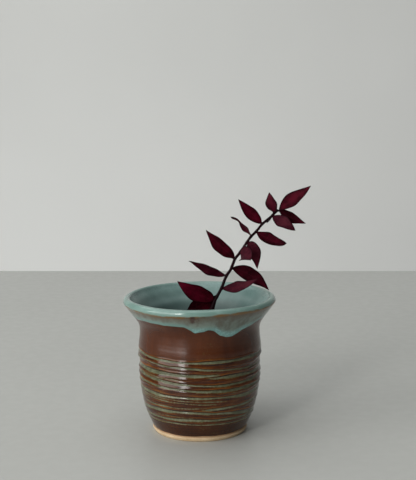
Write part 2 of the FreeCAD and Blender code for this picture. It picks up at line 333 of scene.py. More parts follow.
class Shader:
    """A Principled material and short ways to add the nodes that feed it."""

    def __init__(self, name, **sockets):
        self.material = bpy.data.materials.new(name)
        self.material.use_nodes = True
        self.nodes = self.material.node_tree.nodes
        self.links = self.material.node_tree.links
        self.surface = self.nodes["Principled BSDF"]
        for socket, value in sockets.items():
            self.surface.inputs[socket.replace("_", " ")].default_value = value
        self.place = self.node("TexCoord").outputs["Object"]

    def feed(self, socket, value):
        if isinstance(value, bpy.types.NodeSocket):
            self.links.new(value, socket)
        elif isinstance(value, tuple) and len(value) == 3:
            socket.default_value = (*value, 1.0) if len(socket.default_value) == 4 else value
        else:
            socket.default_value = value

    def node(self, kind, **sockets):
        node = self.nodes.new("ShaderNode" + kind)
        for socket, value in sockets.items():
            self.feed(node.inputs[socket.replace("_", " ")], value)
        return node

    def attribute(self, name):
        node = self.node("Attribute")
        node.attribute_name = name
        return node.outputs["Fac"]

    def math(self, operation, a, b):
        node = self.node("Math")
        node.operation = operation
        self.feed(node.inputs[0], a)
        self.feed(node.inputs[1], b)
        return node.outputs[0]

    def times(self, a, b):
        return self.math("MULTIPLY", a, b)

    def plus(self, a, b):
        return self.math("ADD", a, b)

    def stretch(self, scale):
        """The object's own coordinates, scaled by axis."""
        return self.node("Mapping", Vector=self.place, Scale=scale).outputs["Vector"]

    def noise(self, scale, detail=4.0, rough=0.55, vector=None):
        where = self.place if vector is None else vector
        node = self.node("TexNoise", Vector=where, Scale=scale, Detail=detail, Roughness=rough)
        return node.outputs["Fac"]

    def spots(self, scale):
        """Distance to the nearest of many scattered points."""
        return self.node("TexVoronoi", Vector=self.place, Scale=scale).outputs["Distance"]

    def span(self, value, low, high, out_low=0.0, out_high=1.0):
        """value from low..high to out_low..out_high, clamped and eased."""
        node = self.node("MapRange", Value=value, From_Min=low, From_Max=high,
                         To_Min=out_low, To_Max=out_high)
        node.interpolation_type = "SMOOTHSTEP"
        return node.outputs["Result"]

    def mix(self, share, a, b):
        node = self.node("Mix")
        node.data_type = "RGBA"
        self.feed(node.inputs["Factor"], share)
        self.feed(node.inputs["A"], a)
        self.feed(node.inputs["B"], b)
        return node.outputs["Result"]

    def bump(self, height, distance, strength):
        """Fine relief, with its distance in metres."""
        return self.node("Bump", Height=height, Distance=distance, Strength=strength).outputs["Normal"]

    def finish(self, colour, roughness, normal=None):
        self.feed(self.surface.inputs["Base Color"], colour)
        self.feed(self.surface.inputs["Roughness"], roughness)
        if normal is not None:
            self.links.new(normal, self.surface.inputs["Normal"])
        return self.material


def brown_glaze_material():
    s = Shader("iron_brown_glaze", IOR=1.5, Specular_IOR_Level=0.38)
    green = s.attribute("green")
    under = s.attribute("under")
    crest = s.attribute("crest")
    band = s.attribute("band")
    clouds = s.noise(45.0, 5.0, 0.6, s.stretch((1.0, 1.0, 0.55)))
    streaks = s.noise(190.0, 4.0, 0.6, s.stretch((1.0, 1.0, 0.25)))
    grain = s.noise(900.0, 3.0, 0.6)
    lathe = s.noise(70.0, 5.0, 0.65, s.stretch((1.0, 1.0, 15.0)))
    tooled = s.math("SUBTRACT", 1.0, band)
    specks = s.span(s.spots(700.0), 0.10, 0.24, 1.0, 0.0)

    brown = s.mix(s.span(clouds, 0.35, 0.68), BROWN_DARK, BROWN_LIGHT)
    brown = s.mix(s.span(streaks, 0.45, 0.75, 0.0, 0.5), brown, BROWN_STREAK)
    rusty = s.times(tooled, s.span(lathe, 0.52, 0.70, 0.0, 0.6))
    brown = s.mix(rusty, brown, RUST)
    inky = s.times(tooled, s.span(lathe, 0.50, 0.37, 0.0, 0.9))
    brown = s.mix(inky, brown, INK)
    # The glaze breaking thin on the crests: honey brown, partly its own colour and partly a painted
    # highlight.
    crest_honey_and_highlight = s.times(crest, s.span(s.noise(26.0, 2.0, 0.5), 0.38, 0.60, 0.15, 0.85))
    brown = s.mix(crest_honey_and_highlight, brown, HONEY_AND_HIGHLIGHT)
    brown = s.mix(s.times(band, 0.5), brown, BROWN_BAND)
    brown = s.mix(s.times(s.attribute("low"), 0.65), brown, BROWN_LOW)
    brown = s.mix(under, brown, BROWN_SHADOW)
    brown = s.mix(s.times(specks, 0.35), brown, IRON_SPECK)

    pool = s.plus(green, s.span(grain, 0.3, 0.7, -0.16, 0.16))
    pool = s.plus(pool, s.span(clouds, 0.3, 0.7, -0.14, 0.10))
    pool = s.plus(pool, s.times(s.span(lathe, 0.35, 0.65, -0.16, 0.16), tooled))
    glass = s.mix(s.span(streaks, 0.35, 0.7), GREEN_DARK, GREEN_LIGHT)
    amber = s.mix(s.span(pool, 0.16, 0.42), brown, AMBER)
    colour = s.mix(s.span(pool, 0.36, 0.70), amber, glass)

    roughness = s.span(grain, 0.3, 0.7, 0.07, 0.13)
    roughness = s.plus(roughness, s.times(band, 0.11))
    tool_marks = s.times(tooled, s.span(lathe, 0.3, 0.7, 0.0, 0.4))
    ripple = s.plus(s.noise(260.0, 3.0, 0.5), tool_marks)
    normal = s.bump(s.plus(ripple, s.times(grain, 0.15)), 0.00013, 0.42)
    return s.finish(colour, roughness, normal)


def turquoise_glaze_material():
    s = Shader("turquoise_glaze", IOR=1.5, Specular_IOR_Level=0.6)
    edge = s.attribute("edge")
    arris = s.attribute("arris")
    liner_share = s.attribute("liner")
    below = s.attribute("below")
    smudge = s.attribute("smudge")
    clouds = s.noise(60.0, 5.0, 0.6)
    runs = s.noise(230.0, 4.0, 0.6, s.stretch((1.0, 1.0, 0.13)))
    grain = s.noise(1100.0, 3.0, 0.6)
    specks = s.span(s.spots(420.0), 0.06, 0.16, 1.0, 0.0)

    pale = s.mix(s.span(clouds, 0.35, 0.7), LIP_DARK, LIP_LIGHT)
    liner = s.mix(s.span(clouds, 0.3, 0.7), LINER_DARK, LINER_LIGHT)
    # Painted shade: the liner is painted darker deeper down inside, where little light reaches.
    liner = s.mix(s.times(s.attribute("deep"), 0.8), liner, LINER_PAINTED_SHADE)
    colour = s.mix(liner_share, pale, liner)
    streaky = s.mix(s.span(runs, 0.38, 0.66), RUN_PALE, RUN_GREY)
    streaky = s.mix(s.span(runs, 0.52, 0.80, 0.0, 0.8), streaky, RUN_BROWN)
    colour = s.mix(s.times(below, 0.85), colour, streaky)
    stained = s.times(s.attribute("stained"), s.span(runs, 0.3, 0.62, 0.45, 1.0))
    colour = s.mix(stained, colour, STAINED)
    toasted = s.times(s.attribute("toasted"), s.span(clouds, 0.30, 0.62, 0.45, 1.0))
    colour = s.mix(toasted, colour, TOASTED)
    thick = s.span(edge, 0.02, 0.10, 0.0, 1.0)
    pooled = s.times(s.span(edge, 0.14, 0.42, 1.0, 0.0), thick)
    colour = s.mix(s.times(pooled, 0.5), colour, POOLED)
    drip = s.times(s.attribute("drip"), s.span(runs, 0.3, 0.7, 0.6, 1.0))
    bright = s.mix(s.span(grain, 0.40, 0.66), DRIP_DARK, DRIP_LIGHT)
    colour = s.mix(drip, colour, bright)
    # Brown where the glaze thins at its lower edge, together with a painted shadow line along that edge.
    colour = s.mix(s.span(edge, 0.012, 0.06, 0.95, 0.0), colour, EDGE_BROWN_AND_SHADOW)
    thin = s.times(arris, s.span(clouds, 0.34, 0.60, 0.20, 1.0))
    colour = s.mix(s.span(thin, 0.20, 0.80), colour, ARRIS_BROWN)
    stain = s.plus(smudge, s.span(runs, 0.3, 0.7, -0.3, 0.3))
    colour = s.mix(s.span(stain, 0.25, 0.85, 0.0, 0.95), colour, SMUDGE)
    colour = s.mix(s.times(specks, 0.25), colour, GREY_SPECK)

    roughness = s.plus(s.span(grain, 0.3, 0.7, 0.06, 0.13), s.times(liner_share, 0.20))
    roughness = s.plus(roughness, s.times(s.attribute("deep"), 0.35))
    ripple = s.noise(210.0, 3.0, 0.5)
    normal = s.bump(s.plus(ripple, s.times(grain, 0.2)), 0.00014, 0.5)
    return s.finish(colour, roughness, normal)


def clay_material():
    s = Shader("sandy_stoneware", IOR=1.45)
    clouds = s.noise(70.0, 5.0, 0.6)
    sand = s.noise(1500.0, 4.0, 0.7)
    grog = s.span(s.spots(850.0), 0.12, 0.26, 1.0, 0.0)
    colour = s.mix(s.span(clouds, 0.3, 0.7), CLAY_DARK, CLAY_LIGHT)
    colour = s.mix(s.span(sand, 0.35, 0.7, 0.0, 0.5), colour, SAND)
    colour = s.mix(s.times(grog, 0.45), colour, GROG)
    colour = s.mix(s.times(s.attribute("toasted"), 0.75), colour, CLAY_TOASTED)
    relief = s.plus(sand, s.times(grog, -0.6))
    return s.finish(colour, s.span(sand, 0.3, 0.7, 0.72, 0.92), s.bump(relief, 0.00025, 0.8))


def leaf_material():
    s = Shader("burgundy_leaf", IOR=1.4, Specular_IOR_Level=0.04)
    across = s.attribute("across")
    along = s.attribute("along")
    vein = s.attribute("vein")
    tone = s.attribute("tone")
    mottle = s.noise(150.0, 5.0, 0.65)
    grain = s.noise(1400.0, 3.0, 0.6)
    colour = s.mix(s.span(mottle, 0.32, 0.7), LEAF_DARK, LEAF_LIGHT)
    # Painted highlight along the middle of the blade, fading towards the edges.
    middle_highlight = s.times(s.span(s.noise(55.0, 2.0, 0.5), 0.48, 0.68), s.span(across, 0.75, 0.15))
    colour = s.mix(s.times(middle_highlight, 0.8), colour, LEAF_MIDDLE_HIGHLIGHT)
    flecks = s.span(s.noise(560.0, 4.0, 0.65), 0.52, 0.74, 0.0, 0.40)
    colour = s.mix(flecks, colour, LEAF_FLECK)
    # Painted sheen where the tone is above 0.
    painted_sheen_colour = s.mix(s.span(mottle, 0.35, 0.65), PAINTED_SHEEN_DARK, PAINTED_SHEEN_LIGHT)
    colour = s.mix(s.math("MAXIMUM", tone, 0.0), colour, painted_sheen_colour)
    colour = s.mix(s.times(vein, 0.45), colour, VEIN_RED)
    # Painted highlight where the tone is below 0.
    crimson_highlight = s.times(s.span(tone, 0.0, -1.0), s.span(mottle, 0.30, 0.60, 0.4, 1.0))
    colour = s.mix(crimson_highlight, colour, LEAF_CRIMSON_HIGHLIGHT)
    rim = s.span(s.plus(across, s.span(mottle, 0.3, 0.7, -0.06, 0.06)), 0.74, 0.98)
    colour = s.mix(s.times(rim, 0.85), colour, LEAF_EDGE)
    ends = s.math("MAXIMUM", s.span(along, 0.86, 1.0), s.span(along, 0.12, 0.0))
    colour = s.mix(s.times(ends, 0.8), colour, LEAF_ENDS)
    roughness = s.span(grain, 0.3, 0.7, 0.50, 0.64)
    normal = s.bump(s.plus(grain, s.times(vein, 0.5)), 0.00008, 0.6)
    return s.finish(colour, roughness, normal)


def stem_material():
    s = Shader("dark_bark", IOR=1.4, Specular_IOR_Level=0.1)
    bark = s.noise(420.0, 5.0, 0.65, s.stretch((1.0, 1.0, 0.18)))
    dots = s.span(s.spots(620.0), 0.08, 0.2, 1.0, 0.0)
    colour = s.mix(s.span(bark, 0.35, 0.7), BARK_DARK, BARK_LIGHT)
    colour = s.mix(s.times(dots, 0.3), colour, BARK_DOT)
    colour = s.mix(s.attribute("cut"), colour, CUT_WOOD)
    return s.finish(colour, s.span(bark, 0.3, 0.7, 0.42, 0.65), s.bump(bark, 0.00012, 0.7))


def stage_material(name, dark, light, scale, matt):
    s = Shader(name)
    cloud = s.noise(scale, 3.0, 0.5)
    fine = s.noise(scale * 60, 2.0, 0.5)
    colour = s.mix(s.span(cloud, 0.3, 0.7), dark, light)
    return s.finish(colour, s.span(fine, 0.3, 0.7, matt - 0.06, matt + 0.06))


# ======== the vase's skin

class Skin:
    """The glazed surface's half section: up the outside, over the lip, down to the floor."""

    def __init__(self):
        self.runs = []
        belly_cx = BELLY_RADIUS - BELLY_ARC
        cove_cx = BELLY_RADIUS + COVE_ARC
        inner_arc = BELLY_ARC - WALL
        flare = math.radians(FLARE_ANGLE)
        cos_f = math.cos(flare)
        sin_f = math.sin(flare)
        flare_start = (cove_cx - COVE_ARC * cos_f, NECK_START_Z + COVE_ARC * sin_f)
        lip_z = VASE_HEIGHT - LIP_RADIUS
        flare_run = (lip_z - flare_start[1] - LIP_RADIUS * sin_f) / cos_f
        lip = (flare_start[0] + flare_run * sin_f - LIP_RADIUS * cos_f, lip_z)
        lip_out = (lip[0] + LIP_RADIUS * cos_f, lip[1] - LIP_RADIUS * sin_f)
        lip_in = (lip[0] - LIP_RADIUS * cos_f, lip[1] + LIP_RADIUS * sin_f)
        inner_cove = COVE_ARC + WALL
        throat = (cove_cx - inner_cove * cos_f, NECK_START_Z + inner_cove * sin_f)
        corner_z = FLOOR_TOP_Z + FLOOR_CORNER_ARC
        corner_reach = inner_arc - FLOOR_CORNER_ARC
        corner_turn = math.asin((corner_z - BELLY_FULL_Z) / corner_reach)
        corner = (belly_cx + corner_reach * math.cos(corner_turn), corner_z)
        low_turn = math.degrees(math.asin((FOOT_BAND_TOP - BELLY_FULL_Z) / BELLY_ARC))
        corner_turn = math.degrees(corner_turn)
        inner_r = BELLY_RADIUS - WALL

        self.arc("belly", (belly_cx, BELLY_FULL_Z), BELLY_ARC, low_turn, 0.0, 1)
        self.line("wall", (BELLY_RADIUS, BELLY_FULL_Z), (BELLY_RADIUS, NECK_START_Z), (1, 0))
        self.arc("cove", (cove_cx, NECK_START_Z), COVE_ARC, 180.0, 180.0 - FLARE_ANGLE, -1)
        self.line("flare", flare_start, lip_out, (cos_f, -sin_f))
        self.arc("lip_outside", lip, LIP_RADIUS, -FLARE_ANGLE, 90.0, 1)
        self.arc("lip_inside", lip, LIP_RADIUS, 90.0, 180.0 - FLARE_ANGLE, 1)
        self.line("inner_flare", lip_in, throat, (-cos_f, sin_f))
        self.arc("inner_cove", (cove_cx, NECK_START_Z), inner_cove, 180.0 - FLARE_ANGLE, 180.0, 1)
        self.line("inner_wall", (inner_r, NECK_START_Z), (inner_r, BELLY_FULL_Z), (-1, 0))
        self.arc("inner_belly", (belly_cx, BELLY_FULL_Z), inner_arc, 0.0, corner_turn, -1)
        self.arc("corner", corner, FLOOR_CORNER_ARC, corner_turn, -90.0, -1)
        self.line("floor", (corner[0], FLOOR_TOP_Z), (0.0, FLOOR_TOP_Z), (0, 1))
        self.join()

    def arc(self, name, centre, radius, start, end, facing):
        count = max(2, int(abs(math.radians(end - start)) * radius / SKIN_STEP))
        turn = np.radians(np.linspace(start, end, count))
        away = np.stack([np.cos(turn), np.sin(turn)], axis=1)
        self.runs.append((name, np.array(centre) + radius * away, facing * away))

    def line(self, name, start, end, normal):
        share = np.linspace(0.0, 1.0, 200)[:, None]
        points = np.array(start) * (1 - share) + np.array(end) * share
        self.runs.append((name, points, np.tile(np.array(normal, float), (len(points), 1))))

    def join(self):
        points = np.concatenate([run[1] for run in self.runs])
        normals = np.concatenate([run[2] for run in self.runs])
        steps = np.linalg.norm(np.diff(points, axis=0), axis=1) + 1e-7
        self.s = np.concatenate([[0.0], np.cumsum(steps)])
        self.points = points
        self.normals = normals
        self.start = {}
        first = 0
        for name, run_points, _ in self.runs:
            self.start[name] = self.s[first]
            first += len(run_points)
        self.end = self.s[-1]

    def at(self, s, proud):
        """Radius and height at path length s, moved off the clay by proud."""
        r = np.interp(s, self.s, self.points[:, 0]) + proud * np.interp(s, self.s, self.normals[:, 0])
        z = np.interp(s, self.s, self.points[:, 1]) + proud * np.interp(s, self.s, self.normals[:, 1])
        return r, z

    def s_at_height(self, z):
        """Path length of a height on the outside, below the lip."""
        outside = self.s < self.start["lip_outside"]
        return np.interp(z, self.points[outside, 1], self.s[outside])


skin = Skin()
bearing_degrees = -180.0 + 360.0 * np.arange(COLUMNS) / COLUMNS
bearings = np.radians(bearing_degrees)[None, :]


def waves(*terms):
    """Ripples round the vase added up; each is (height, ripples in a full turn, phase)."""
    return sum(height * np.sin(count * bearings + phase) for height, count, phase in terms)


def place(r, z):
    """Points in metres for radius and height grids, with the potter's wobble."""
    high = smooth(z, 45.0, 90.0)
    low_sway = waves((0.10, 2, 0.045 * z), (0.06, 3, 1.0 - 0.06 * z))
    rim_sway = high * waves((OVALITY, 2, 0.8), (0.12, 3, 2.3))
    share = smooth(r, 0.0, 30.0)
    foot = smooth(z, 0.0, 12.0)
    spread = RIM_SPREAD * smooth(z, 80.0, 90.0)
    r = r + share * (foot * low_sway + rim_sway + spread)
    lift = waves((RIM_TILT, 1, 0.0), (RIM_WAVE, 2, 2.0), (0.10, 5, 0.6))
    z = z + smooth(z, 62.0, 90.0) * lift
    x = r * np.sin(bearings) + RIM_SHIFT * high
    y = -r * np.cos(bearings)
    return np.stack([x, y, z * np.ones_like(x)], axis=-1) * MM


def line_height(left, front, right, number):
    """Height of one tooled line at each bearing; it levels out towards the back."""
    turned = np.clip(bearings, -math.pi / 2, math.pi / 2)
    front_share = np.cos(turned) ** 2
    tilt = (right - left) / (2 * math.sin(math.radians(60.0)))
    sag = ((left + right) / 2 - front) / (math.cos(math.radians(60.0)) ** 2 - 1.0)
    sway = waves((0.16, 4, 1.7 * number), (0.10, 9, 2.9 * number))
    return front + tilt * np.sin(bearings) + sag * (front_share - 1.0) + sway


def tooling(z):
    """Relief of the tooled belly at heights z, and masks for green, undercut and crest."""
    relief = np.zeros_like(z)
    green = np.zeros_like(z)
    under = np.zeros_like(z)
    crest = np.zeros_like(z)
    for number, (left, front, right, reach, width, depth, glaze, ledge) in enumerate(TOOLED_LINES):
        uneven = 1.0 + waves((0.22, 3, 2.1 * number), (0.14, 8, number), (0.07, 21, 1.3 * number))
        gap = z - line_height(left, front, right, number)
        u = gap / (width * uneven)
        there = 1.0
        if reach is not None:
            first, last = reach
            there = between(bearing_degrees, first, first + LINE_FADE, last - LINE_FADE, last)
        fall = gap / (ledge * uneven)
        ramp = np.clip((0.1 - fall) / 1.1, 0.0, 1.0)
        sill = LEDGE_RISE * ledge ** 0.5 * ramp * (1.0 - smooth(fall, -1.0, -1.5))
        cut = width ** 0.5 * (swell(u, *GROOVE) + swell(u, *BROW))
        softened = depth * (SHALLOW_SHARE if front < SHALLOW_BELOW else 1.0)
        relief += RELIEF * there * softened * (cut + sill)
        green = np.maximum(green, there * glaze * swell(u, *GREEN_GLAZE))
        under = np.maximum(under, there * depth * swell(u, *UNDERCUT))
        crest = np.maximum(crest, there * depth * swell(u, *CREST))
    return relief, green, under, crest


def smooth_through(stops, at):
    """Smooth closed curve of a height through stops by bearing, which never overshoots them."""
    x = np.array([stop[0] for stop in stops], float)
    y = np.array([stop[1] for stop in stops], float)
    x = np.concatenate([x - 360.0, x, x + 360.0])
    y = np.tile(y, 3)
    rise = np.diff(y) / np.diff(x)
    slope = np.zeros_like(y)
    same_way = rise[:-1] * rise[1:] > 0
    mean = 2 * rise[:-1] * rise[1:] / np.where(same_way, rise[:-1] + rise[1:], 1.0)
    slope[1:-1] = np.where(same_way, mean, 0.0)
    k = np.clip(np.searchsorted(x, at) - 1, 0, len(x) - 2)
    step = x[k + 1] - x[k]
    f = (at - x[k]) / step
    low = (1 + 2 * f) * (1 - f) ** 2 * y[k] + f * (1 - f) ** 2 * step * slope[k]
    high = f ** 2 * (3 - 2 * f) * y[k + 1] - f ** 2 * (1 - f) * step * slope[k + 1]
    return low + high


def glaze_edge_height():
    """Height of the turquoise glaze's lower edge at each bearing."""
    ripple = waves((0.10, 19, 1.0), (0.09, 31, 2.0), (0.05, 53, 0.5))
    return smooth_through(GLAZE_EDGE, bearing_degrees)[None, :] + ripple


def spread_rows(*stops):
    """Path lengths from stop to stop; each stop is (path length, row spacing up to it)."""
    rows = [stops[0][0]]
    for (start, _), (end, spacing) in zip(stops, stops[1:]):
        count = max(1, int(round((end - start) / spacing)))
        rows.extend(np.linspace(start, end, count + 1)[1:])
    return np.array(rows)[:, None]


def build_outer_glaze():
    """Brown glaze over the tooled belly, with green glaze in the tooled lines."""
    foot_edge = waves((0.30, 2, 0.3), (0.22, 7, 1.1), (0.12, 16, 0.0))
    top_of_lines = float(skin.s_at_height(LINES_TOP))
    top = float(skin.s_at_height(BROWN_TOP))
    rows = spread_rows((0.0, 0.0), (1.2, 0.12), (top_of_lines, FINE_ROW), (top, PLAIN_ROW))
    s = rows + (1.0 - smooth(rows, 0.0, FOOT_EDGE_REACH)) * foot_edge
    _, z = skin.at(s, 0.0)
    relief, green, under, crest = tooling(z)
    bulge = swell(z, BAND_BULGE_Z, BAND_BULGE_REACH, BAND_BULGE)
    rings = 0.012 * np.sin(2.3 * z + 0.8 * np.sin(bearings)) * smooth(z, 56.0, 62.0)
    bead = FOOT_BEAD * (quarter_round(rows / 0.9) - 1.0)
    outside = place(*skin.at(s, relief + bulge + rings + bead))
    hidden = spread_rows((0.0, 0.0), (top, HIDDEN_ROW))
    hidden = hidden + (1.0 - smooth(hidden, 0.0, FOOT_EDGE_REACH)) * foot_edge
    inside = place(*skin.at(hidden, -COAT_DEPTH))
    obj = add_closed_shell("outer_glaze", outside, inside, green=green, under=under, crest=crest,
                           band=smooth(z, 57.0, 60.0), low=1.0 - smooth(z, 9.0, 17.0))
    nodes = [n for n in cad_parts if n.startswith("green_glaze_line")]
    return finish_piece(obj, "vase", brown_glaze_material(), "brown_glaze", "brown_glaze", *nodes)


def build_rim_glaze():
    """Turquoise glaze: runs and edge on the outside, the lip, and the liner down to the floor."""
    edge_s = skin.s_at_height(glaze_edge_height())
    settled = float(skin.s_at_height(ROWS_LEVEL_FROM))
    near_edge = np.array([0.0, 0.06, 0.16, 0.3, 0.5, 0.75, 1.05, 1.4])[:, None]
    from_edge = edge_s + near_edge
    share = np.linspace(0.0, 1.0, 16)[1:, None]
    blend = from_edge[-1:] + (settled - from_edge[-1:]) * share
    lip_end = skin.start["inner_flare"]
    rows = spread_rows((settled, 0.0), (skin.start["lip_outside"] + 1.0, 0.25), (lip_end, 0.3),
                       (skin.start["inner_cove"], 0.6), (skin.end - 1.0, LINER_ROW))
    s = np.concatenate([from_edge, blend, rows[1:] * np.ones_like(edge_s)])
    distance = s - edge_s
    thickness = EDGE_BEAD * quarter_round(distance / EDGE_ROUND)
    thickness = thickness * (1.0 - 0.65 * smooth(distance, 3.0, 12.0)) - 0.05
    arris_rise = ARRIS_RISE * between(bearing_degrees, -12.0, 40.0, 100.0, 150.0)
    arris_s = skin.start["lip_outside"] + 0.3 + waves((0.25, 4, 0.5)) + arris_rise
    ridge = swell(s, arris_s, 0.55, 0.14) - swell(s, arris_s - 1.7, 1.1, 0.10)
    _, z = skin.at(s, 0.0)
    inner = smooth(s, skin.start["lip_inside"], skin.start["inner_flare"])
    rings = inner * LINER_RINGS * np.sin(0.85 * z + bearings) * smooth(z, 10.0, 20.0)
    from_middle = skin.end - s
    spiral = inner * FLOOR_SPIRAL * np.sin(0.75 * from_middle + bearings) * (1.0 - smooth(z, 8.0, 9.5))
    spiral = spiral * smooth(from_middle, 1.0, 4.0)
    outside = place(*skin.at(s, thickness + ridge + rings + spiral))
    hidden_rows = spread_rows((settled, 0.0), (skin.end - 1.0, 3.0))
    hidden = np.concatenate([edge_s, hidden_rows * np.ones_like(edge_s)])
    inside = place(*skin.at(hidden, -COAT_DEPTH))
    run_depth = smooth(RUNS_START - glaze_edge_height(), 1.0, 4.5)
    stained = between(s, edge_s + 2.0, arris_s - 2.0, arris_s - 0.4, arris_s + 0.4)
    spot = swell(bearing_degrees, -4.2, 1.9) + swell(bearing_degrees, -0.4, 1.3, 0.55)
    obj = add_closed_shell(
        "rim_and_liner_glaze", outside, inside, pole=True,
        edge=np.clip(distance / 10.0, 0.0, 1.0),
        arris=swell(s, arris_s - 0.5, 1.3, 1.0, 2.5),
        liner=inner,
        # painted shade on the liner, stronger deeper down
        deep=inner * (1.0 - smooth(z, 70.0, 88.0)),
        below=between(s, edge_s + 1.2, edge_s + 4.5, arris_s - 0.6, arris_s + 0.3),
        toasted=between(s, arris_s - 6.5, arris_s - 0.8, arris_s - 0.5, arris_s + 0.2),
        stained=stained * swell(bearing_degrees, 15.0, 26.0, 0.85, 3.0),
        drip=run_depth * between(distance, 0.2, 0.9, 2.5, 6.5),
        smudge=spot * between(s, arris_s - 9.0, arris_s - 1.0, arris_s, arris_s + 0.8))
    return finish_piece(obj, "vase", turquoise_glaze_material(), "turquoise_glaze", "turquoise_glaze")


def build_clay():
    """The clay under the glaze; what shows is the bare foot, its ring and the recess."""
    ring_in = FOOT_RADIUS - FOOT_RING_WIDTH
    belly_foot = float(skin.at(0.0, 0.0)[0])
    foot = np.array([
        (0.6, FOOT_RECESS + 0.5), (6.0, FOOT_RECESS + 0.35), (14.0, FOOT_RECESS + 0.1),
        (21.0, FOOT_RECESS), (ring_in - 2.2, FOOT_RECESS - 0.1), (ring_in - 1.3, FOOT_RECESS - 0.5),
        (ring_in - 0.6, 0.7), (ring_in - 0.1, 0.15), (ring_in + 0.6, 0.0), (ring_in + 2.2, 0.0),
        (FOOT_RADIUS - 0.6, 0.0), (FOOT_RADIUS + 0.05, 0.15), (FOOT_RADIUS + 0.5, 0.6),
        (FOOT_RADIUS + 0.95, 1.3), (FOOT_RADIUS + 1.25, 2.1), (belly_foot + 0.15, 2.9),
        (belly_foot - 0.25, 3.8),
    ])
    fine = np.linspace(0, len(foot) - 1, 4 * len(foot))
    r = np.interp(fine, np.arange(len(foot)), foot[:, 0])
    z = np.interp(fine, np.arange(len(foot)), foot[:, 1])
    rows_s = spread_rows((4.0, 0.0), (skin.end - 1.0, 2.5))[:, 0]
    wall_r, wall_z = skin.at(rows_s, -COAT_DEPTH)
    all_r = np.concatenate([r, wall_r])[:, None]
    all_z = np.concatenate([z, wall_z])[:, None]
    turning = 0.07 * np.sin(2.6 * all_r + bearings) * (all_z < 3.0) * (all_r < ring_in - 1.0)
    points = place(all_r * np.ones_like(bearings), all_z + turning)
    rows = len(all_r)
    vertices = points.reshape(-1, 3)
    faces = ring_faces(rows, COLUMNS)
    under_pole = len(vertices)
    floor_pole = under_pole + 1
    last = (rows - 1) * COLUMNS
    for j in range(COLUMNS):
        k = (j + 1) % COLUMNS
        faces.append((j, k, under_pole))
        faces.append((last + j, last + k, floor_pole))
    vertices = np.concatenate([vertices, [points[0].mean(axis=0), points[-1].mean(axis=0)]])
    obj = add_object("clay_foot_and_wall", vertices, faces)
    toasted = smooth(all_z, 2.3, 3.6) * np.ones_like(bearings)
    add_attribute(obj, "toasted", np.concatenate([toasted.ravel(), [0.0, 0.0]]))
    return finish_piece(obj, "vase", clay_material(), "clay", "clay_body")


# ======== the sprig

class Solid:
    """Vertices and edges of a CAD node in millimetres, and slices through it."""

    def __init__(self, node):
        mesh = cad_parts[node].data
        self.points = np.array([v.co for v in mesh.vertices]) / MM
        self.edges = np.array([e.vertices[:] for e in mesh.edges])

    def slice(self, point, direction):
        height = (self.points - point) @ direction
        a = height[self.edges[:, 0]]
        b = height[self.edges[:, 1]]
        crossing = (a * b) < 0
        share = (a / (a - b))[crossing][:, None]
        start = self.points[self.edges[crossing, 0]]
        end = self.points[self.edges[crossing, 1]]
        return start + (end - start) * share


def unit(v):
    return v / np.linalg.norm(v, axis=-1, keepdims=True)


def fitted(x, values, degree, at):
    """Smooth curve through the columns of values, read at other places."""
    return np.stack([np.polyval(np.polyfit(x, column, degree), at) for column in values.T], axis=-1)


STALK_HALF = 0.45
TIP_HALF = 0.04


class Blade:
    """Midrib, side direction and width of a CAD leaf, read from slices across it."""

    def __init__(self, node, stem_tree):
        solid = Solid(node)
        away = np.array([stem_tree.find(Vector(p))[2] for p in solid.points])
        tip = solid.points[np.argmax(away)]
        base = solid.points[np.argmax(np.linalg.norm(solid.points - tip, axis=1))]
        chord = tip - base
        self.length = float(np.linalg.norm(chord))
        self.stations = np.linspace(0.05, 0.95, 19)
        middles, sides, halves, cups = [], [], [], []
        previous = None
        for f in self.stations:
            cut = solid.slice(base + chord * f, chord / self.length)
            gaps = np.linalg.norm(cut[:, None] - cut[None, :], axis=2)
            i, j = np.unravel_index(np.argmax(gaps), gaps.shape)
            side = unit(cut[j] - cut[i])
            if previous is not None and side @ previous < 0:
                side = -side
            previous = side
            middle = (cut[i] + cut[j]) / 2
            middles.append(middle)
            sides.append(side)
            halves.append(gaps[i, j] / 2)
            cups.append(middle - cut.mean(axis=0))
        self.base = base
        self.tip = tip
        self.middles = np.array(middles)
        self.sides = np.array(sides)
        self.halves = np.array(halves)
        self.cup = np.mean(cups, axis=0)

    def midrib(self, u):
        x = np.concatenate([[0.0], self.stations, [1.0]])
        line = np.concatenate([[self.base], self.middles, [self.tip]])
        return fitted(x, line, 5, u)

    def side(self, u):
        return unit(fitted(self.stations, self.sides, 3, u))

    def half(self, u):
        x = np.concatenate([[0.0], self.stations, [1.0]])
        width = np.concatenate([[STALK_HALF], self.halves, [TIP_HALF]])
        fine = np.linspace(0.0, 1.0, 201)
        kernel = swell(np.linspace(-2.2, 2.2, 25), 0.0, 1.0)
        padded = np.pad(np.interp(fine, x, width), 12, mode="reflect", reflect_type="odd")
        rounded = np.convolve(padded, kernel / kernel.sum(), mode="valid")
        return np.interp(u, fine, np.maximum(rounded, TIP_HALF))


LEAF_ROWS = 48
LEAF_COLUMNS = 17
LEAF_THICKNESS = 0.34
STALK_IN_STEM = 0.7
VEIN_SPACING = 1.15
VEIN_RELIEF = 0.025
RIB_HALF = 0.38
# How far the midrib sinks into the upper face, and how far it stands out of the lower one.
RIB_SUNK = 0.10
RIB_PROUD = 0.26
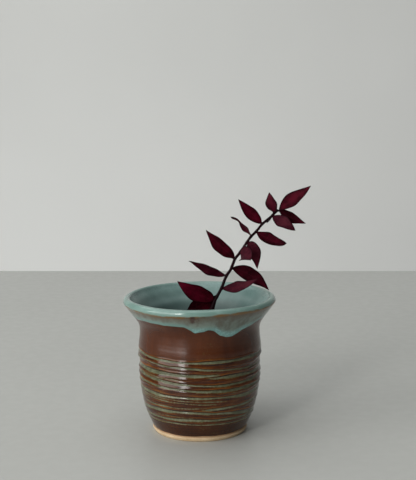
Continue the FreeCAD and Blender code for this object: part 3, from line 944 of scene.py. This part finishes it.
# What a slice can't hold: curl of the tip out of the blade, waviness of the edge, extra cupping,
# how pale the face is painted by sheen where the leaf catches the light (below 0 the face gets a
# painted crimson highlight instead), how far the tip turns up in the blade's own plane, how blunt
# the tip is, how far the blade narrows at two thirds of its length, and how much fuller its upper side is.
Habit = namedtuple("Habit", "curl wave cupping dust turn_up blunt pinch fullness", defaults=[0.0] * 5)
LEAF_HABIT = {
    "leaf_in_mouth": Habit(0.5, 0.45, 0.5),
    "leaf_low_left": Habit(-1.2, 0.45, 0.8, dust=-0.4, turn_up=0.6, fullness=0.35),
    "leaf_left_hooked": Habit(1.6, 0.45, 0.6, dust=0.4, turn_up=0.5),
    "leaf_left_broad": Habit(0.8, 0.4, 0.6, turn_up=0.4),
    "leaf_left_twisted": Habit(1.8, 0.6, 0.9, dust=0.3, turn_up=-0.8, blunt=0.6, pinch=0.55),
    "leaf_left_high": Habit(0.6, 0.3, 0.5, turn_up=0.5),
    "leaf_top_small": Habit(-0.4, 0.2, 0.5, dust=0.6, turn_up=0.3),
    "leaf_end": Habit(0.8, 0.5, 0.7, dust=0.1, turn_up=0.5, fullness=0.15),
    "leaf_right_behind": Habit(0.6, 0.3, 0.5, dust=0.2, turn_up=-0.4),
    "leaf_right_front": Habit(-0.5, 0.5, 0.6, dust=0.85, turn_up=0.3, blunt=0.2),
    "leaf_right_rolled": Habit(0.6, 0.35, 1.1, turn_up=0.6, blunt=0.8),
    "leaf_drooping": Habit(0.8, 0.35, 0.8, dust=0.55),
    "leaf_short": Habit(0.4, 0.3, 0.6, dust=0.85, blunt=0.3),
    "leaf_on_lip": Habit(0.2, 0.35, 0.8, dust=0.15),
    "leaf_low_right": Habit(-1.0, 0.55, 0.8, dust=0.85, turn_up=0.4, pinch=0.12),
}


def build_leaf(node, stem_tree, material):
    blade = Blade(node, stem_tree)
    curl, wave, cupping, dust, turn_up, blunt, pinch, fullness = LEAF_HABIT[node]
    number = sorted(LEAF_HABIT).index(node)
    u = np.linspace(0.0, 1.0, LEAF_ROWS) ** 0.95
    v = np.linspace(-1.0, 1.0, LEAF_COLUMNS)
    midrib = blade.midrib(u)
    chord = unit(blade.tip - blade.base)
    flat = blade.side(np.array([0.7]))[0]
    upward = flat * (1.0 if flat[2] - chord[2] * (flat @ chord) > 0 else -1.0)
    midrib = midrib + upward * (turn_up * np.clip((u - 0.55) / 0.45, 0.0, 1.0) ** 2)[:, None]
    along = unit(np.gradient(midrib, axis=0))
    side = blade.side(u)
    side = unit(side - along * np.sum(side * along, axis=1, keepdims=True))
    up = np.cross(along, side)
    if np.mean(up @ blade.cup) < 0:
        up = -up
    half = blade.half(u)
    half = half + blunt * 0.9 * between(u, 0.70, 0.88, 0.93, 1.0)
    half = half * (1.0 - swell(u, 0.66, 0.17, pinch))
    half = half * (1.0 + 0.03 * np.sin(2 * math.pi * (2.3 * u + 0.29 * number)))
    # The stalk starts inside the stem.
    midrib[0] = midrib[0] - along[0] * STALK_IN_STEM

    facing = 1.0 if np.mean(side @ upward) > 0 else -1.0
    fuller = 1.0 + fullness * np.clip(facing * v, 0.0, 1.0)
    across = half[:, None] * (v * fuller)[None, :]
    widest = half.max()
    lift = cupping * 0.30 * (across ** 2) / widest
    lift = lift - cupping * 0.10 * widest * (half[:, None] / widest) ** 2
    ruffle = np.sin(2 * math.pi * (1.6 * u + 0.37 * number))[:, None] * np.sign(v)[None, :]
    ruffle = ruffle + np.sin(2 * math.pi * (2.7 * u + 0.61 * number))[:, None]
    lift = lift + 0.5 * wave * ruffle * (v ** 2)[None, :] * (half[:, None] / widest)
    lift = lift + curl * (np.clip((u - 0.62) / 0.38, 0.0, 1.0) ** 2)[:, None]
    veins = np.cos(across * 2 * math.pi / VEIN_SPACING)
    vein_strength = np.clip(1.0 - np.abs(v) ** 3, 0.0, 1.0)[None, :] * smooth(u, 0.05, 0.25)[:, None]
    lift = lift + VEIN_RELIEF * veins * vein_strength
    thick = LEAF_THICKNESS / 2 * (1.0 - 0.72 * np.abs(v) ** 4)[None, :] * (1.0 - 0.4 * u)[:, None]
    rib = swell(across, 0.0, RIB_HALF) * (1.0 - 0.75 * u)[:, None]
    top = lift + thick - RIB_SUNK * rib
    bottom = lift - thick - RIB_PROUD * rib
    middle = midrib[:, None, :] + side[:, None, :] * across[:, :, None]
    upper = middle + up[:, None, :] * top[:, :, None]
    lower = middle + up[:, None, :] * bottom[:, :, None]

    vertices = np.concatenate([upper.reshape(-1, 3), lower.reshape(-1, 3)]) * MM
    count = LEAF_ROWS * LEAF_COLUMNS
    faces = []
    for i in range(LEAF_ROWS - 1):
        for j in range(LEAF_COLUMNS - 1):
            a = i * LEAF_COLUMNS + j
            b = a + LEAF_COLUMNS
            faces.append((a, a + 1, b + 1, b))
            faces.append((count + a, count + b, count + b + 1, count + a + 1))
        for j in (0, LEAF_COLUMNS - 1):
            a = i * LEAF_COLUMNS + j
            b = a + LEAF_COLUMNS
            faces.append((a, b, count + b, count + a))
    for i in (0, LEAF_ROWS - 1):
        for j in range(LEAF_COLUMNS - 1):
            a = i * LEAF_COLUMNS + j
            faces.append((a, a + 1, count + a + 1, count + a))
    obj = add_object(node + "_blade", vertices, faces)
    both = [np.concatenate([g.ravel(), g.ravel()]) for g in (
        np.abs(v)[None, :] * np.ones((LEAF_ROWS, 1)),
        u[:, None] * np.ones((1, LEAF_COLUMNS)),
        np.clip(rib + 0.35 * (veins > 0.6) * vein_strength, 0.0, 1.0),
        dust * np.ones((LEAF_ROWS, LEAF_COLUMNS)),
    )]
    for name, values in zip(("across", "along", "vein", "tone"), both):
        add_attribute(obj, name, values)
    return finish_piece(obj, "sprig", material, "leaf", node), blade.base


def sweep(name, centres, radii, sides):
    """A closed tube through centres, with radii by row and side, and flat ends."""
    along = unit(np.gradient(centres, axis=0))
    first = unit(np.cross(along, np.array([0.0, 1.0, 0.0])))
    second = np.cross(along, first)
    turn = (2 * math.pi * np.arange(sides) / sides)[None, :, None]
    ring = first[:, None, :] * np.cos(turn) + second[:, None, :] * np.sin(turn)
    points = centres[:, None, :] + ring * radii[:, :, None]
    rows = len(centres)
    faces = ring_faces(rows, sides)
    faces.append(tuple(range(sides)))
    faces.append(tuple((rows - 1) * sides + j for j in range(sides)))
    return add_object(name, points.reshape(-1, 3) * MM, faces)


# Old leaf sheaths thicken the stem where it enters the mouth.
SHEATH_HEIGHT = 77.0
SHEATH_REACH = 7.0
SHEATH_SWELL = 0.55
JOINT_SWELL = 0.22
JOINT_REACH = 1.1
STUB_RADIUS = 0.52


def build_stem(joints):
    """The stem follows slices of the CAD stem, with bark ridges and swollen leaf joints."""
    solid = Solid("stem")
    low = solid.points[:, 2].min()
    high = solid.points[:, 2].max()
    levels = np.concatenate([np.linspace(low + 1.0, 80.0, 60), np.arange(81.0, high - 0.7, 0.7)])
    centres = []
    radii = []
    for level in levels:
        cut = solid.slice(np.array([0.0, 0.0, level]), np.array([0.0, 0.0, 1.0]))
        middle = (cut.min(axis=0) + cut.max(axis=0)) / 2
        centres.append(middle)
        radii.append((cut[:, 1].max() - cut[:, 1].min()) / 2)
    centres = np.array(centres)
    radii = np.array(radii)
    sides = 16
    turn = 2 * math.pi * np.arange(sides)[None, :] / sides
    length = np.cumsum(np.concatenate([[0.0], np.linalg.norm(np.diff(centres, axis=0), axis=1)]))
    length = length[:, None]
    ridges = 0.05 * np.sin(5 * turn + 0.35 * length) + 0.03 * np.sin(9 * turn - 0.5 * length)
    bumps = 0.04 * np.sin(1.9 * length) * np.sin(turn + 0.8 * length)
    fatter = np.zeros(len(centres))
    for joint in joints:
        gap = np.linalg.norm(centres - joint, axis=1)
        fatter = fatter + swell(gap, 0.0, JOINT_REACH, JOINT_SWELL)
    fatter = fatter + swell(levels, SHEATH_HEIGHT, SHEATH_REACH, SHEATH_SWELL, 4.0)
    size = (radii[:, None] + 0.06) * (1.0 + ridges + bumps) * (1.0 + fatter[:, None])
    obj = sweep("stem_bark", centres, size, sides)
    cut_end = np.zeros((len(centres), sides))
    cut_end[0] = 1.0
    add_attribute(obj, "cut", cut_end)
    return finish_piece(obj, "sprig", stem_material(), "stem", "stem")


def build_stub():
    """The broken leaf stalk: a short taper with a torn end."""
    solid = Solid("broken_leaf_stalk")
    start = solid.points[np.argmax(solid.points[:, 2])]
    end = solid.points[np.argmin(solid.points[:, 2])]
    rows = 9
    sides = 12
    share = np.linspace(-0.15, 1.0, rows)[:, None]
    centres = start + (end - start) * share
    centres = centres + np.array([0.25, 0.0, -0.15]) * np.sin(math.pi * share)
    turn = 2 * math.pi * np.arange(sides)[None, :] / sides
    size = STUB_RADIUS - 0.10 * share + 0.05 * np.sin(3 * turn + 4 * share)
    size = size * (1.0 - 0.35 * (share > 0.95))
    obj = sweep("broken_stalk", centres, size, sides)
    add_attribute(obj, "cut", np.zeros(rows * sides))
    return finish_piece(obj, "sprig", stem_material(), "stem", "broken_leaf_stalk")


def build_sprig():
    stem = Solid("stem")
    tree = KDTree(len(stem.points))
    for index, point in enumerate(stem.points):
        tree.insert(Vector(point), index)
    tree.balance()
    material = leaf_material()
    joints = [build_leaf(node, tree, material)[1] for node in sorted(LEAF_HABIT)]
    build_stem(joints)
    build_stub()


# ======== stage

def build_stage():
    """A pale table that ends behind the vase, and a pale wall beyond it."""
    edge = [(-TABLE_REACH, -TABLE_REACH), (TABLE_REACH, -TABLE_REACH),
            (TABLE_REACH, TABLE_BACK), (-TABLE_REACH, TABLE_BACK)]
    corners = [(x, y, z) for z in (0.0, -TABLE_THICKNESS) for x, y in edge]
    sides = [(i, i + 4, (i + 1) % 4 + 4, (i + 1) % 4) for i in range(4)]
    table = add_object("table", corners, [(0, 1, 2, 3), (4, 7, 6, 5)] + sides)
    table.data.polygons.foreach_set("use_smooth", [False] * len(table.data.polygons))
    table.data.materials.append(stage_material("table_top", *TABLE_COLOURS, 2.0, 0.50))
    wall = add_object("wall", [(-WALL_REACH, WALL_BACK, WALL_BOTTOM), (WALL_REACH, WALL_BACK, WALL_BOTTOM),
                               (WALL_REACH, WALL_BACK, WALL_TOP), (-WALL_REACH, WALL_BACK, WALL_TOP)],
                      [(0, 1, 2, 3)])
    wall.data.materials.append(stage_material("wall_paint", *WALL_COLOURS, 1.5, 0.85))


def add_lamp(name, where, target, width, height, power, colour=(1.0, 1.0, 1.0)):
    """A rectangular soft light that shines towards target and isn't seen itself."""
    light = bpy.data.lights.new(name, "AREA")
    light.shape = "RECTANGLE"
    light.size = width
    light.size_y = height
    light.energy = power
    light.color = colour
    lamp = bpy.data.objects.new(name, light)
    lamp.location = where
    lamp.rotation_euler = (Vector(target) - lamp.location).to_track_quat("-Z", "Y").to_euler()
    lamp.visible_camera = False
    bpy.context.scene.collection.objects.link(lamp)


def add_softbox(number, near, far, bottom, top, strength):
    """A tall soft light that covers the bearings near..far as seen from the vase."""
    middle = math.radians((near + far) / 2)
    half_turn = math.radians(abs(near - far) / 2)
    width = 2 * SOFTBOX_DISTANCE * math.tan(half_turn)
    height = top - bottom
    target = Vector((0.0, 0.0, (bottom + top) / 2))
    where = target + Vector((math.sin(middle), -math.cos(middle), 0.0)) * SOFTBOX_DISTANCE
    power = strength * width * height * math.pi
    add_lamp("softbox_%d" % number, where, target, width, height, power, SOFTBOX_COLOUR)


def build_light():
    for number, box in enumerate(SOFTBOXES, 1):
        add_softbox(number, *box)
    add_lamp("overhead", *OVERHEAD)
    add_lamp("wall_wash", *WALL_WASH)
    world = bpy.data.worlds.new("studio_air")
    world.use_nodes = True
    air = world.node_tree.nodes["Background"]
    air.inputs["Color"].default_value = AIR_COLOUR
    air.inputs["Strength"].default_value = AIR_STRENGTH
    bpy.context.scene.world = world


def build_camera():
    data = bpy.data.cameras.new("camera")
    data.lens = CAMERA_LENS
    data.sensor_width = 36.0
    camera = bpy.data.objects.new("camera", data)
    camera.location = CAMERA_AT
    camera.rotation_euler = (math.radians(90.0 - CAMERA_PITCH), 0.0, 0.0)
    bpy.context.scene.collection.objects.link(camera)
    bpy.context.scene.camera = camera


build_clay()
build_outer_glaze()
build_rim_glaze()
build_sprig()
build_stage()
build_light()
build_camera()
bpy.context.scene.view_settings.view_transform = "Standard"
